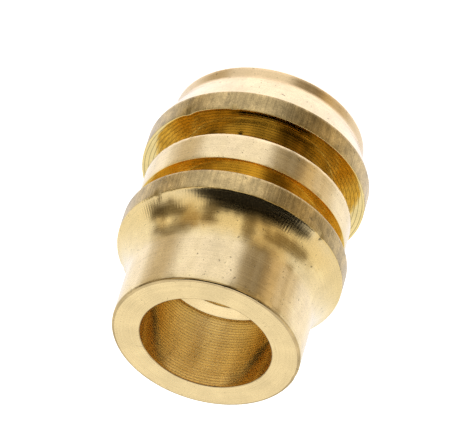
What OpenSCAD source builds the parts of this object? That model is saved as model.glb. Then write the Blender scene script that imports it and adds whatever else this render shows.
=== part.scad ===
// Rigid sleeve coupling: one sleeve, turned from a single length of drawn brass bar.
// Z is the turning axis. The sleeve stands on its tail, with the tube socket opening upwards.
// The order from the tail up is: pilot, cone, rear collar, wide groove, middle land,
// narrow groove, front collar, flare, spigot.

/* [Bar] */
// Diameter of the drawn bar, left unmachined on both collars
bar_d = 21; // [20.5:0.5:26]

/* [Tail] */
// Diameter of the straight pilot at the tail's end
pilot_d = 18; // [16:0.1:19.5]
// Length of the straight pilot
pilot_len = 1.3; // [0.8:0.1:4]
// Length of the cone between the pilot and the rear collar
cone_len = 3.2; // [2:0.1:6]

/* [Collars and grooves] */
// Width of the rear collar
rear_collar_w = 2.1; // [1.5:0.1:4]
// Width of the groove between the rear collar and the middle land
wide_groove_w = 2.4; // [1.5:0.1:4]
// Width of the middle land
land_w = 2.9; // [1.5:0.1:5]
// Diameter of the middle land
land_d = 19.5; // [18:0.1:20]
// Width of the groove between the middle land and the front collar
narrow_groove_w = 2.2; // [1.5:0.1:4]
// Diameter of both groove floors
groove_d = 13.8; // [13.4:0.1:16]
// Width of the front collar
front_collar_w = 2.1; // [1.5:0.1:4]

/* [Spigot] */
// Diameter of the spigot around the tube socket
spigot_d = 17.4; // [16.5:0.1:18.5]
// Length from the front collar to the spigot's end face, flare included
spigot_len = 9.4; // [8:0.1:14]
// Radius of the concave flare that runs out to the front collar
flare_r = 6.3; // [5:0.1:7]
// Width of the broken edge around the spigot's end face
edge_break = 0.25; // [0.1:0.05:0.3]

/* [Bore] */
// Diameter of the tube socket
socket_d = 12.15; // [11.5:0.05:13]
// Depth of the socket's straight wall
socket_depth = 8; // [6:0.1:9]
// Diameter of the flow bore beyond the socket's stop
flow_d = 10.2; // [8:0.1:11]
// Angle across the conical stop that the drill left
stop_angle = 118; // [90:1:140]

/* [Hidden] */
round_steps = 144;
bar_r = bar_d / 2;
pilot_r = pilot_d / 2;
land_r = land_d / 2;
groove_r = groove_d / 2;
spigot_r = spigot_d / 2;
socket_r = socket_d / 2;
flow_r = flow_d / 2;
// Heights of each step above the tail's end face
rear_collar_z = pilot_len + cone_len;
wide_groove_z = rear_collar_z + rear_collar_w;
land_z = wide_groove_z + wide_groove_w;
narrow_groove_z = land_z + land_w;
front_collar_z = narrow_groove_z + narrow_groove_w;
flare_z = front_collar_z + front_collar_w;
length = flare_z + spigot_len;
// The flare is a quarter-circle groove that stops where it reaches the bar's surface
flare_rise = bar_r - spigot_r;
flare_len = sqrt(2 * flare_r * flare_rise - flare_rise * flare_rise);
stop_z = length - socket_depth;
stop_len = (socket_r - flow_r) / tan(stop_angle / 2);

// Outline of the turned outside, with the flare still square
module outside_section() {
    polygon([
        [0, 0],
        [pilot_r, 0],
        [pilot_r, pilot_len],
        [bar_r, rear_collar_z],
        [bar_r, wide_groove_z],
        [groove_r, wide_groove_z],
        [groove_r, land_z],
        [land_r, land_z],
        [land_r, narrow_groove_z],
        [groove_r, narrow_groove_z],
        [groove_r, front_collar_z],
        [bar_r, front_collar_z],
        [bar_r, flare_z + flare_len],
        [spigot_r, flare_z + flare_len],
        [spigot_r, length - edge_break],
        [spigot_r - edge_break, length],
        [0, length]
    ]);
}

// Outline of the bored inside: flow bore, conical stop and socket
module bore_section() {
    overrun = 1;
    polygon([
        [0, -overrun],
        [flow_r, -overrun],
        [flow_r, stop_z - stop_len],
        [socket_r, stop_z],
        [socket_r, length + overrun],
        [0, length + overrun]
    ]);
}

module sleeve_body() {
    color("#e0bd7c")
    rotate_extrude($fn = round_steps)
        difference() {
            outside_section();
            translate([spigot_r + flare_r, flare_z + flare_len]) circle(r = flare_r, $fn = round_steps);
            bore_section();
        }
}

sleeve_body();
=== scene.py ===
"""Rigid sleeve coupling: one turned brass sleeve standing on its tail on a pale floor."""
import math

import bpy
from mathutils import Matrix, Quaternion, Vector, noise


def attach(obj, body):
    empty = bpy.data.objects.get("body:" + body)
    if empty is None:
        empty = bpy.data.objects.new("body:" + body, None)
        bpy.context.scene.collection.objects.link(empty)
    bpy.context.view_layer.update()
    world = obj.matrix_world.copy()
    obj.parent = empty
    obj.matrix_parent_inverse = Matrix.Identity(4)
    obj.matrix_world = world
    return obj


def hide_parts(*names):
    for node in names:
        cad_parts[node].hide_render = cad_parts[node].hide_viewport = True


MM = 0.001

# ---- Sizes in millimetres, as the CAD part has them; heights are from the tail ----
BAR_R = 10.5
PILOT_R = 9.0
LAND_R = 9.75
GROOVE_R = 6.9
SPIGOT_R = 8.7
SOCKET_R = 6.075
FLOW_R = 5.1
FLARE_R = 6.3
PILOT_TOP = 1.3
CONE_TOP = 4.5
REAR_COLLAR_TOP = 6.6
WIDE_GROOVE_TOP = 9.0
LAND_TOP = 11.9
NARROW_GROOVE_TOP = 14.1
FRONT_COLLAR_TOP = 16.2
LENGTH = 25.6
SOCKET_FLOOR = 17.6
DRILL_ANGLE = 118.0
STOP_LEN = (SOCKET_R - FLOW_R) / math.tan(math.radians(DRILL_ANGLE / 2))
FLARE_TOP = FRONT_COLLAR_TOP + math.sqrt(FLARE_R ** 2 - (FLARE_R - BAR_R + SPIGOT_R) ** 2)

# Everything further from the axis than this is on the outside, where edges get knocked
OUTSIDE_R = SOCKET_R + 0.5

# ---- Size of each rounded edge, in millimetres ----
TAIL_MOUTH_EDGE = 0.12
PILOT_EDGE = 0.10
CONE_EDGE = 0.05
COLLAR_EDGE = 0.06
GROOVE_FILLET = 0.12
LAND_EDGE = 0.05
FLARE_EDGE = 0.05
SPIGOT_EDGE = 0.28
SOCKET_MOUTH_EDGE = 0.10
STOP_EDGE = 0.05
FLOW_EDGE = 0.06

# ---- Mesh detail ----
SEGMENTS = 420
CORNER_RINGS = 4
FLARE_RINGS = 22
FLARE_RIM_RINGS = 8

# ---- Unevenness of the edges: depth in millimetres, noise cells in the sleeve's radius,
# and how many of its own widths a nick reaches ----
EDGE_RIPPLE = 0.007
RIPPLE_SCALE = 30
NICK_REACH = 3

# ---- Tool marks: ring spacing in millimetres, ring height against the finer marks, how far
# a ring wavers as a part of the spacing, the wave height that ends a furrow, and the chatter
# waves in one turn ----
BORING_PITCH = 0.31
FACING_PITCH = 0.36
RIDGE = 1.6
WAVER = 0.4
FURROW_END = 0.5
CHATTER_WAVES = 210

# ---- Finish: noise cells per millimetre for each axis, and the noise values that bound
# each effect ----
NOISE_RANGE = (0.3, 0.7)
DRAWN_STREAK = 0.12
TURNED_STREAK = 0.10
BROAD_STREAK = 0.05
CLOUD_SCALE = (0.35, 0.35, 0.35)
SPECKLE_SCALE = (9, 9, 9)
BLOTCH_SCALE = (1.1, 1.1, 0.9)
BLOTCH_RANGE = (0.35, 0.65)
# The dark streaks in the grooves are painted shade, for the shade and dark reflections deep in
# them
PAINTED_SHADE_SCALE = (0.28, 0.28, 0.06)
PAINTED_SHADE_RANGE = (0.40, 0.56)
PIT_SCALE = (2.8, 2.8, 2.8)
PIT_RANGE = (0.62, 0.70)
CHATTER_RANGE = (0.45, 0.65)
FAINT_CHATTER = 0.1
BROAD_SHARE = 0.5
BUMP_DISTANCE = 0.01 * MM
GLOSSY_BOUNCES = 12

# ---- Floor: half its width and its gap under the tail, in metres, then its look ----
FLOOR_HALF = 2.0
FLOOR_GAP = 0.02 * MM
FLOOR_COLOUR = (0.9, 0.9, 0.9, 1)
FLOOR_GLOW = 0.9

# ---- Camera: from the front and above, aimed at a point beside the axis ----
CAMERA_AIM = Vector((1.56, 0.0, 11.10)) * MM
CAMERA_ELEVATION = 39.01
CAMERA_ROLL = -163.01
CAMERA_DISTANCE = 0.4564
CAMERA_LENS = 399.1
CAMERA_SENSOR = 36.0


def corner(radius, height, edge, zone, rings, edge_zone=None):
    """One corner of the section, and the side that runs from it to the next corner."""
    return {"at": Vector((radius, height)), "edge": edge, "zone": zone, "rings": rings,
            "edge_zone": edge_zone}


def flare_corners():
    """The hollow flare between the front collar and the spigot, as one arc."""
    sweep = math.asin((FLARE_TOP - FRONT_COLLAR_TOP) / FLARE_R)
    corners = []
    for i in range(FLARE_RINGS):
        angle = sweep * (1 - i / FLARE_RINGS)
        radius = SPIGOT_R + FLARE_R * (1 - math.cos(angle))
        height = FLARE_TOP - FLARE_R * math.sin(angle)
        zone = "rim" if i < FLARE_RIM_RINGS else "turned"
        corners.append(corner(radius, height, FLARE_EDGE if i == 0 else 0.0, zone, 1))
    return corners


def section_corners():
    """The closed section, from the tail's bore mouth up the outside and down the bore."""
    return [
        corner(FLOW_R, 0, TAIL_MOUTH_EDGE, "tail", 6),
        corner(PILOT_R, 0, PILOT_EDGE, "tail", 4),
        corner(PILOT_R, PILOT_TOP, 0.0, "turned", 6),
        corner(BAR_R, CONE_TOP, CONE_EDGE, "drawn", 8),
        corner(BAR_R, REAR_COLLAR_TOP, COLLAR_EDGE, "wide groove", 12),
        corner(GROOVE_R, REAR_COLLAR_TOP, GROOVE_FILLET, "wide floor", 4),
        corner(GROOVE_R, WIDE_GROOVE_TOP, GROOVE_FILLET, "wide groove", 8),
        corner(LAND_R, WIDE_GROOVE_TOP, LAND_EDGE, "turned", 8),
        corner(LAND_R, LAND_TOP, LAND_EDGE, "narrow groove", 12),
        corner(GROOVE_R, LAND_TOP, GROOVE_FILLET, "narrow floor", 4),
        corner(GROOVE_R, NARROW_GROOVE_TOP, GROOVE_FILLET, "narrow groove", 8),
        corner(BAR_R, NARROW_GROOVE_TOP, COLLAR_EDGE, "drawn", 8),
        *flare_corners(),
        corner(SPIGOT_R, FLARE_TOP, 0.0, "turned", 8),
        # The two mouth edges take the darker edge brass, a painted dark reflection
        corner(SPIGOT_R, LENGTH, SPIGOT_EDGE, "faced", 10, "edge"),
        corner(SOCKET_R, LENGTH, SOCKET_MOUTH_EDGE, "bored", 24, "edge"),
        corner(SOCKET_R, SOCKET_FLOOR, STOP_EDGE, "stop", 4),
        corner(FLOW_R, SOCKET_FLOOR - STOP_LEN, FLOW_EDGE, "bored", 10),
    ]


def section_points():
    """Points of the section as (radius, height, zone, on an edge), with slightly rounded edges."""
    corners = section_corners()
    points = []
    for i, here in enumerate(corners):
        before = corners[i - 1]
        after = corners[(i + 1) % len(corners)]
        back = (before["at"] - here["at"]).normalized()
        ahead = (after["at"] - here["at"]).normalized()
        start = here["at"] + ahead * here["edge"]
        stop = after["at"] - ahead * after["edge"]
        if here["edge"]:
            entry = here["at"] + back * here["edge"]
            for step in range(CORNER_RINGS):
                t = step / CORNER_RINGS
                curve = entry.lerp(here["at"], t).lerp(here["at"].lerp(start, t), t)
                zone = here["edge_zone"] or (before["zone"] if t < 0.5 else here["zone"])
                points.append((curve.x, curve.y, zone, True))
        for ring in range(here["rings"]):
            point = start.lerp(stop, ring / here["rings"])
            points.append((point.x, point.y, here["zone"], False))
    return points


# Nicks on the edges: degrees round from the front, height, width and depth in millimetres
NICKS = [
    (-46, REAR_COLLAR_TOP, 0.55, 0.16),
    (-21, REAR_COLLAR_TOP, 0.28, 0.08),
    (-50, FRONT_COLLAR_TOP, 0.35, 0.08),
    (42, FRONT_COLLAR_TOP, 0.30, 0.08),
    (-64, LENGTH, 0.25, 0.06),
    (23, LENGTH, 0.22, 0.05),
    (152, REAR_COLLAR_TOP, 0.40, 0.10),
    (-118, FRONT_COLLAR_TOP, 0.35, 0.09),
    (97, LENGTH, 0.30, 0.06),
]


def nick_depth(angle, radius, height):
    """How far a point at this place is pushed towards the axis by the nicks."""
    depth = 0.0
    for degrees, edge_height, width, most in NICKS:
        turn = (angle - math.radians(degrees) + math.pi) % (2 * math.pi) - math.pi
        reach = NICK_REACH * width
        if abs(turn) * radius > reach or abs(height - edge_height) > reach:
            continue
        away = math.hypot(turn * radius, height - edge_height) / width
        depth += most * math.exp(-away * away)
    return depth


def edge_ripple(angle, along):
    """Slight unevenness of the broken edges."""
    place = Vector((math.cos(angle) * RIPPLE_SCALE, math.sin(angle) * RIPPLE_SCALE, along))
    return EDGE_RIPPLE * (1 + noise.noise(place))


def build_sleeve(zones):
    """The sleeve as one closed turned mesh, with one material slot for each zone."""
    points = section_points()
    count = len(points)
    along = [0.0]
    for i in range(1, count):
        along.append(along[-1] + math.dist(points[i][:2], points[i - 1][:2]))
    verts = []
    turning = []
    for segment in range(SEGMENTS):
        angle = 2 * math.pi * segment / SEGMENTS
        for i, (radius, height, zone, on_edge) in enumerate(points):
            r = radius
            if radius > OUTSIDE_R:
                r -= nick_depth(angle, radius, height)
                r -= on_edge * edge_ripple(angle, along[i])
            verts.append((-math.sin(angle) * r * MM, -math.cos(angle) * r * MM, height * MM))
            turning.extend((math.sin(angle) * BAR_R, math.cos(angle) * BAR_R, along[i]))
    faces = []
    slots = []
    names = list(zones)
    for segment in range(SEGMENTS):
        this = segment * count
        that = (segment + 1) % SEGMENTS * count
        for i in range(count):
            j = (i + 1) % count
            faces.append((this + i, this + j, that + j, that + i))
            slots.append(names.index(points[i][2]))
    mesh = bpy.data.meshes.new("sleeve")
    mesh.from_pydata(verts, [], faces)
    for material in zones.values():
        mesh.materials.append(material)
    mesh.polygons.foreach_set("material_index", slots)
    mesh.polygons.foreach_set("use_smooth", [True] * len(faces))
    mesh.attributes.new("turning", "FLOAT_VECTOR", "POINT").data.foreach_set("vector", turning)
    mesh.validate()
    mesh.update()
    sleeve = bpy.data.objects.new("turned_sleeve", mesh)
    bpy.context.scene.collection.objects.link(sleeve)
    return sleeve


class Nodes:
    """A short way to add and link nodes in one tree."""

    def __init__(self, tree):
        self.tree = tree
        tree.nodes.clear()

    def add(self, kind, inputs=None, **settings):
        """A new node; each input is a plain value or another node's socket."""
        node = self.tree.nodes.new(kind)
        for name, value in settings.items():
            setattr(node, name, value)
        for name, value in (inputs or {}).items():
            if isinstance(value, bpy.types.NodeSocket):
                self.tree.links.new(value, node.inputs[name])
            else:
                node.inputs[name].default_value = value
        return node

    def math(self, operation, first, second=0.0):
        """The result of one math node."""
        node = self.add("ShaderNodeMath", {0: first, 1: second}, operation=operation)
        return node.outputs[0]

    def square(self, value):
        return self.math("MULTIPLY", value, value)

    def remap(self, value, low, high, to_low=0.0, to_high=1.0, smooth=False):
        """A value moved from one range to another and held inside it."""
        kind = "SMOOTHSTEP" if smooth else "LINEAR"
        inputs = {"Value": value, "From Min": low, "From Max": high,
                  "To Min": to_low, "To Max": to_high}
        node = self.add("ShaderNodeMapRange", inputs, interpolation_type=kind, clamp=True)
        return node.outputs["Result"]

    def vary(self, value, change):
        """A noise value as a factor that strays from 1 by up to the given change."""
        return self.remap(value, *NOISE_RANGE, 1 - change, 1 + change)

    def streaks(self, vector, scale, detail=2.0, roughness=0.5):
        """Noise stretched by a scale for each axis."""
        mapping = self.add("ShaderNodeMapping", {"Vector": vector, "Scale": scale})
        inputs = {"Vector": mapping.outputs[0], "Scale": 1.0,
                  "Detail": detail, "Roughness": roughness}
        return self.add("ShaderNodeTexNoise", inputs).outputs["Fac"]

    def blend(self, factor, first, second):
        """From the first colour to the second as the factor goes from 0 to 1."""
        inputs = {"Factor": factor, "A": first, "B": second}
        node = self.add("ShaderNodeMix", data_type="VECTOR")
        for socket in node.inputs:
            if socket.enabled and socket.name in inputs:
                self.tree.links.new(inputs[socket.name], socket)
        return next(socket for socket in node.outputs if socket.enabled)

    def tint(self, colour, factor):
        """A colour multiplied by a grey factor."""
        node = self.add("ShaderNodeVectorMath", {0: colour, 1: factor}, operation="MULTIPLY")
        return node.outputs[0]


def brass(name, colour, roughness, marks, lengthwise=False, pits=0.0, mottle=0.06,
          anisotropy=0.5, spread=0.05, bump=0.5, chatter=0.0, pitch=0.0, grain=0.08, painted_shade_streaks=0.0,
          blotch=0.0, painted_furrow_shade=1.0):
    """Machined brass: marks run round the turning axis, or along it on the drawn skin.

    A pitch adds rings that far apart, with painted shade in the furrows between them: the furrow
    value is the brightness left there.
    """
    material = bpy.data.materials.new(name)
    material.use_nodes = True
    nodes = Nodes(material.node_tree)
    place = nodes.add("ShaderNodeAttribute", attribute_name="turning").outputs["Vector"]
    if lengthwise:
        fine = nodes.streaks(place, (marks, marks, DRAWN_STREAK), 4.0, 0.6)
        broad = nodes.streaks(place, (marks / 4, marks / 4, BROAD_STREAK), 2.0)
    else:
        fine = nodes.streaks(place, (TURNED_STREAK, TURNED_STREAK, marks), 4.0, 0.6)
        broad = nodes.streaks(place, (BROAD_STREAK, BROAD_STREAK, marks / 5), 2.0)
    cloud = nodes.streaks(place, CLOUD_SCALE, 3.0)
    shade = nodes.vary(cloud, mottle)
    shade = nodes.math("MULTIPLY", shade, nodes.vary(fine, mottle))
    height = nodes.math("ADD", fine, nodes.math("MULTIPLY", broad, BROAD_SHARE))
    speckle = nodes.streaks(place, SPECKLE_SCALE, 2.0)
    shade = nodes.math("MULTIPLY", shade, nodes.vary(speckle, grain))
    xyz = nodes.add("ShaderNodeSeparateXYZ", {0: place}).outputs
    if pitch:
        turn = nodes.math("ADD", nodes.math("DIVIDE", xyz["Z"], pitch),
                          nodes.math("MULTIPLY", cloud, WAVER))
        wave = nodes.math("ABSOLUTE", nodes.math("SINE", nodes.math("MULTIPLY", turn, math.pi)))
        ridge = nodes.remap(wave, 0.0, FURROW_END, smooth=True)
        height = nodes.math("ADD", height, nodes.math("MULTIPLY", ridge, RIDGE))
        # Painted shade: the furrows between the rings are darkened in the base colour
        shade = nodes.math("MULTIPLY", shade, nodes.remap(ridge, 0.0, 1.0, painted_furrow_shade, 1.0))
    if blotch:
        patches = nodes.streaks(place, BLOTCH_SCALE, 3.0, 0.6)
        dull = nodes.remap(patches, *BLOTCH_RANGE, 1 - blotch, 1 + blotch)
        shade = nodes.math("MULTIPLY", shade, dull)
    # Painted shade: dark streaks darken the base colour of the grooves and their floors, standing
    # in for the shade and dark reflections deep in them
    if painted_shade_streaks:
        bands = nodes.streaks(place, PAINTED_SHADE_SCALE, 3.0, 0.6)
        shade = nodes.math("MULTIPLY", shade, nodes.remap(bands, *PAINTED_SHADE_RANGE, 1 - painted_shade_streaks, 1.0))
    if pits:
        spots = nodes.streaks(place, PIT_SCALE, 4.0, 0.65)
        pit = nodes.remap(spots, *PIT_RANGE, 0.0, pits, smooth=True)
        shade = nodes.math("MULTIPLY", shade, nodes.math("SUBTRACT", 1.0, pit))
        height = nodes.math("SUBTRACT", height, pit)
    if chatter:
        angle = nodes.math("ARCTAN2", xyz["X"], xyz["Y"])
        wave = nodes.math("SINE", nodes.math("MULTIPLY", angle, CHATTER_WAVES))
        strength = nodes.remap(cloud, *CHATTER_RANGE, FAINT_CHATTER, chatter, smooth=True)
        height = nodes.math("ADD", height, nodes.math("MULTIPLY", wave, strength))
    rough = nodes.remap(fine, *NOISE_RANGE, roughness - spread, roughness + spread)
    tangent = nodes.add("ShaderNodeTangent", direction_type="RADIAL", axis="Z").outputs[0]
    relief = nodes.add("ShaderNodeBump", {"Height": height, "Strength": bump,
                                          "Distance": BUMP_DISTANCE})
    grey = nodes.add("ShaderNodeCombineXYZ", {"X": shade, "Y": shade, "Z": shade}).outputs[0]
    inputs = {"Base Color": nodes.tint((*colour,), grey), "Metallic": 1.0,
              "Roughness": rough, "Anisotropic": anisotropy, "Tangent": tangent,
              "Anisotropic Rotation": 0.0 if lengthwise else 0.25,
              "Normal": relief.outputs[0]}
    shader = nodes.add("ShaderNodeBsdfPrincipled", inputs)
    nodes.add("ShaderNodeOutputMaterial", {"Surface": shader.outputs[0]})
    return material


def make_zones():
    """One material for each kind of machined surface."""
    bright = (0.90, 0.72, 0.42)
    return {
        "turned": brass("brass_turned", bright, 0.17, 9.0, pits=0.6, mottle=0.08, bump=0.4,
                        grain=0.10, blotch=0.05),
        "rim": brass("brass_rim", bright, 0.17, 9.0, pits=0.3, bump=0.35, chatter=0.6),
        "tail": brass("brass_tail", (0.80, 0.60, 0.33), 0.20, 9.0, pits=0.45, bump=0.3),
        "drawn": brass("brass_drawn", (0.54, 0.40, 0.185), 0.27, 5.0, lengthwise=True,
                       pits=0.5, mottle=0.20, bump=0.9, grain=0.22, blotch=0.22),
        "faced": brass("brass_faced", bright, 0.26, 7.0, pits=0.35, mottle=0.08, bump=0.8),
        # Painted reflection: the broken mouth edges get a darker brass in place of the dark line
        # they reflect
        "edge": brass("brass_edge_painted_dark", (0.60, 0.46, 0.26), 0.14, 5.0, pits=0.6, mottle=0.2),
        "stop": brass("brass_stop", bright, 0.22, 7.0, mottle=0.05),
        "wide groove": brass("brass_wide_groove", (0.93, 0.76, 0.38), 0.08, 8.0,
                             mottle=0.08, spread=0.02, bump=0.14, anisotropy=0.0,
                             pitch=FACING_PITCH, painted_shade_streaks=0.12, painted_furrow_shade=0.48),
        "narrow groove": brass("brass_narrow_groove", (0.91, 0.74, 0.36), 0.08, 8.0,
                               mottle=0.08, spread=0.02, bump=0.18, anisotropy=0.0,
                               pitch=FACING_PITCH, painted_shade_streaks=0.12, painted_furrow_shade=0.85),
        # Painted shade: the groove floors get a much darker brass than their walls, for the shade
        # at the bottom of the grooves
        "wide floor": brass("brass_wide_floor_painted_shade", (0.46, 0.33, 0.10), 0.10, 8.0, mottle=0.12,
                            spread=0.02, bump=0.15, anisotropy=0.0, painted_shade_streaks=0.3),
        "narrow floor": brass("brass_narrow_floor_painted_shade", (0.68, 0.48, 0.13), 0.10, 8.0, mottle=0.12,
                              spread=0.02, bump=0.15, anisotropy=0.0, painted_shade_streaks=0.3),
        "bored": brass("brass_bored", (0.90, 0.762, 0.46), 0.19, 6.0, pits=0.5, mottle=0.10,
                       bump=0.2, grain=0.04, pitch=BORING_PITCH, painted_furrow_shade=0.5),
    }


# Dull patches of the studio, chosen for the front view, each laid over those before it:
# azimuth from the front, half width, elevation, half height and soft edge in degrees, and
# how much of the light is left
SHADES = [
    (2, 66, 43, 22, 5, 0.01),
    (6, 30, 18, 8, 6, 0.30),
    (-14, 24, 24, 9, 4, 0.05),
    (38, 32, 26, 9, 3, 0.03),
    (-80, 20, 7, 14, 6, 0.20),
    (-76, 21, -21, 11, 7, 0.35),
    (-90, 9, -3, 18, 6, 0.42),
    (-56, 13, -3, 17, 6, 0.63),
    (-45, 18, -8, 9, 6, 0.68),
    (-33, 9, 6, 16, 5, 0.25),
    (-88, 17, -38, 13, 10, 0.64),
    (8, 7, -3, 24, 6, 0.32),
    (30, 20, -42, 13, 10, 0.38),
    (68, 24, -42, 13, 10, 0.74),
    (26, 18, -28, 10, 8, 0.58),
    (52, 29, -3, 11, 5, 0.32),
    (34, 24, -18, 12, 8, 0.76),
    (52, 12, -32, 12, 8, 0.88),
    (33, 24, 6, 10, 8, 0.80),
    (69, 7, -30, 8, 5, 0.50),
]
SHADE_TINT = (1.0, 0.88, 0.66)
# Brighter patches, laid over the dull ones, in the same terms
LAMPS = [
    (-83, 8, -9, 7, 5, 2.6),
    (150, 30, -38, 26, 15, 1.08),
    (-150, 30, -38, 26, 15, 1.08),
]
LAMP_TINT = (1.0, 1.0, 1.0)
# A wide warm card in front of the sleeve, under all of them, in the same terms
WARM_CARD = (0, 92, 8, 26, 12, 1)
WARM_TINT = (1.0, 0.92, 0.74)
# How far the outlines wander, in degrees, with the noise scales for each direction
WOBBLE = 5.0
AZIMUTH_WOBBLE = (7, 7, 7)
ELEVATION_WOBBLE = (9, 8, 6)
# The soft edge reaches this many times as far out as in
FEATHER = 1.5

# Light of the surroundings by elevation in degrees: straight down, horizon, straight up
LIGHT_BY_ELEVATION = [
    (-90, (1.30, 1.28, 1.40)),
    (-52, (1.20, 1.18, 1.30)),
    (-42, (1.00, 1.00, 1.08)),
    (-30, (0.96, 0.95, 0.90)),
    (0, (0.93, 0.89, 0.72)),
    (30, (0.93, 0.90, 0.80)),
    (60, (1.00, 0.97, 0.88)),
    (78, (1.25, 1.22, 1.15)),
]
# The ramp's colours are divided by this, to stay below 1, and the light is multiplied by it
LIGHT_SCALE = 2.0


def make_world():
    """A pale studio with patches by direction, which the camera itself sees as plain white."""
    world = bpy.data.worlds.new("studio")
    world.use_nodes = True
    nodes = Nodes(world.node_tree)
    way = nodes.add("ShaderNodeTexCoord").outputs["Generated"]
    xyz = nodes.add("ShaderNodeSeparateXYZ", {0: way}).outputs
    left = nodes.math("MULTIPLY", xyz["X"], -1.0)
    front = nodes.math("MULTIPLY", xyz["Y"], -1.0)
    azimuth = nodes.math("DEGREES", nodes.math("ARCTAN2", left, front))
    elevation = nodes.math("DEGREES", nodes.math("ARCSINE", xyz["Z"]))
    wander = nodes.remap(nodes.streaks(way, AZIMUTH_WOBBLE), *NOISE_RANGE, -WOBBLE, WOBBLE)
    azimuth = nodes.math("ADD", azimuth, wander)
    wander = nodes.remap(nodes.streaks(way, ELEVATION_WOBBLE), *NOISE_RANGE, -WOBBLE, WOBBLE)
    elevation = nodes.math("ADD", elevation, wander)
    ramp = nodes.add("ShaderNodeValToRGB", {"Fac": nodes.remap(elevation, -90, 90)})
    stops = ramp.color_ramp.elements
    while len(stops) < len(LIGHT_BY_ELEVATION):
        stops.new(0.5)
    for stop, (degrees, colour) in zip(stops, LIGHT_BY_ELEVATION):
        stop.position = (degrees + 90) / 180
        stop.color = (*(part / LIGHT_SCALE for part in colour), 1)
    light = ramp.outputs["Color"]
    patches = [(WARM_CARD, WARM_TINT)]
    patches += [(shade, SHADE_TINT) for shade in SHADES]
    patches += [(lamp, LAMP_TINT) for lamp in LAMPS]
    for (centre, half_width, middle, half_height, soft, level), tint in patches:
        aside = nodes.math("DIVIDE", nodes.math("SUBTRACT", azimuth, centre), half_width)
        above = nodes.math("DIVIDE", nodes.math("SUBTRACT", elevation, middle), half_height)
        outside = nodes.math("ADD", nodes.square(aside), nodes.square(above))
        edge = soft / min(half_width, half_height)
        cover = nodes.remap(outside, 1 - edge, 1 + FEATHER * edge, 1, 0, smooth=True)
        factor = tuple(level * part for part in tint)
        light = nodes.blend(cover, light, nodes.tint(light, factor))
    studio = nodes.add("ShaderNodeBackground", {"Color": light, "Strength": LIGHT_SCALE})
    backdrop = nodes.add("ShaderNodeBackground", {"Color": (1, 1, 1, 1)})
    seen = nodes.add("ShaderNodeLightPath").outputs["Is Camera Ray"]
    both = nodes.add("ShaderNodeMixShader",
                     {0: seen, 1: studio.outputs[0], 2: backdrop.outputs[0]})
    nodes.add("ShaderNodeOutputWorld", {"Surface": both.outputs[0]})
    bpy.context.scene.world = world


def make_floor():
    """A plain, overexposed floor, clear from below, that the brass doesn't reflect."""
    mesh = bpy.data.meshes.new("floor")
    low = -FLOOR_GAP
    half = FLOOR_HALF
    corners = [(-half, -half, low), (half, -half, low), (half, half, low), (-half, half, low)]
    mesh.from_pydata(corners, [], [(0, 1, 2, 3)])
    material = bpy.data.materials.new("floor_white")
    material.use_nodes = True
    nodes = Nodes(material.node_tree)
    paper = nodes.add("ShaderNodeBsdfDiffuse", {"Color": FLOOR_COLOUR})
    glow = nodes.add("ShaderNodeEmission", {"Strength": FLOOR_GLOW})
    both = nodes.add("ShaderNodeAddShader", {0: paper.outputs[0], 1: glow.outputs[0]})
    below = nodes.add("ShaderNodeNewGeometry").outputs["Backfacing"]
    clear = nodes.add("ShaderNodeBsdfTransparent")
    sheet = nodes.add("ShaderNodeMixShader", {0: below, 1: both.outputs[0], 2: clear.outputs[0]})
    nodes.add("ShaderNodeOutputMaterial", {"Surface": sheet.outputs[0]})
    mesh.materials.append(material)
    floor = bpy.data.objects.new("floor", mesh)
    bpy.context.scene.collection.objects.link(floor)
    floor.visible_glossy = False


def make_camera():
    """A long lens looking down at the sleeve, turned nearly upside down."""
    data = bpy.data.cameras.new("camera")
    data.lens = CAMERA_LENS
    data.sensor_width = CAMERA_SENSOR
    camera = bpy.data.objects.new("camera", data)
    tilt = math.radians(CAMERA_ELEVATION)
    away = Vector((0, -math.cos(tilt), math.sin(tilt)))
    level = (-away).to_track_quat("-Z", "Y")
    roll = Quaternion((0, 0, 1), math.radians(CAMERA_ROLL))
    camera.rotation_mode = "QUATERNION"
    camera.rotation_quaternion = level @ roll
    camera.location = CAMERA_AIM + away * CAMERA_DISTANCE
    bpy.context.scene.collection.objects.link(camera)
    bpy.context.scene.camera = camera


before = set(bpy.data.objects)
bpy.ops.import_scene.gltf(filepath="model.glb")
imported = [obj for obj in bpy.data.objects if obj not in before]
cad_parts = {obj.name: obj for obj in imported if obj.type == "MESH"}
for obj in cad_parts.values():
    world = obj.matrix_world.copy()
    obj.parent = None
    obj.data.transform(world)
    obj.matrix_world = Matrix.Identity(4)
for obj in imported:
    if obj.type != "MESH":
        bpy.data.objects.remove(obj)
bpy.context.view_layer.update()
make_camera()
make_world()
make_floor()
bpy.context.scene.view_settings.view_transform = "Standard"
bpy.context.scene.cycles.blur_glossy = 0.0
bpy.context.scene.cycles.glossy_bounces = GLOSSY_BOUNCES
sleeve = build_sleeve(make_zones())
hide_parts("sleeve_body")
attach(sleeve, "root")
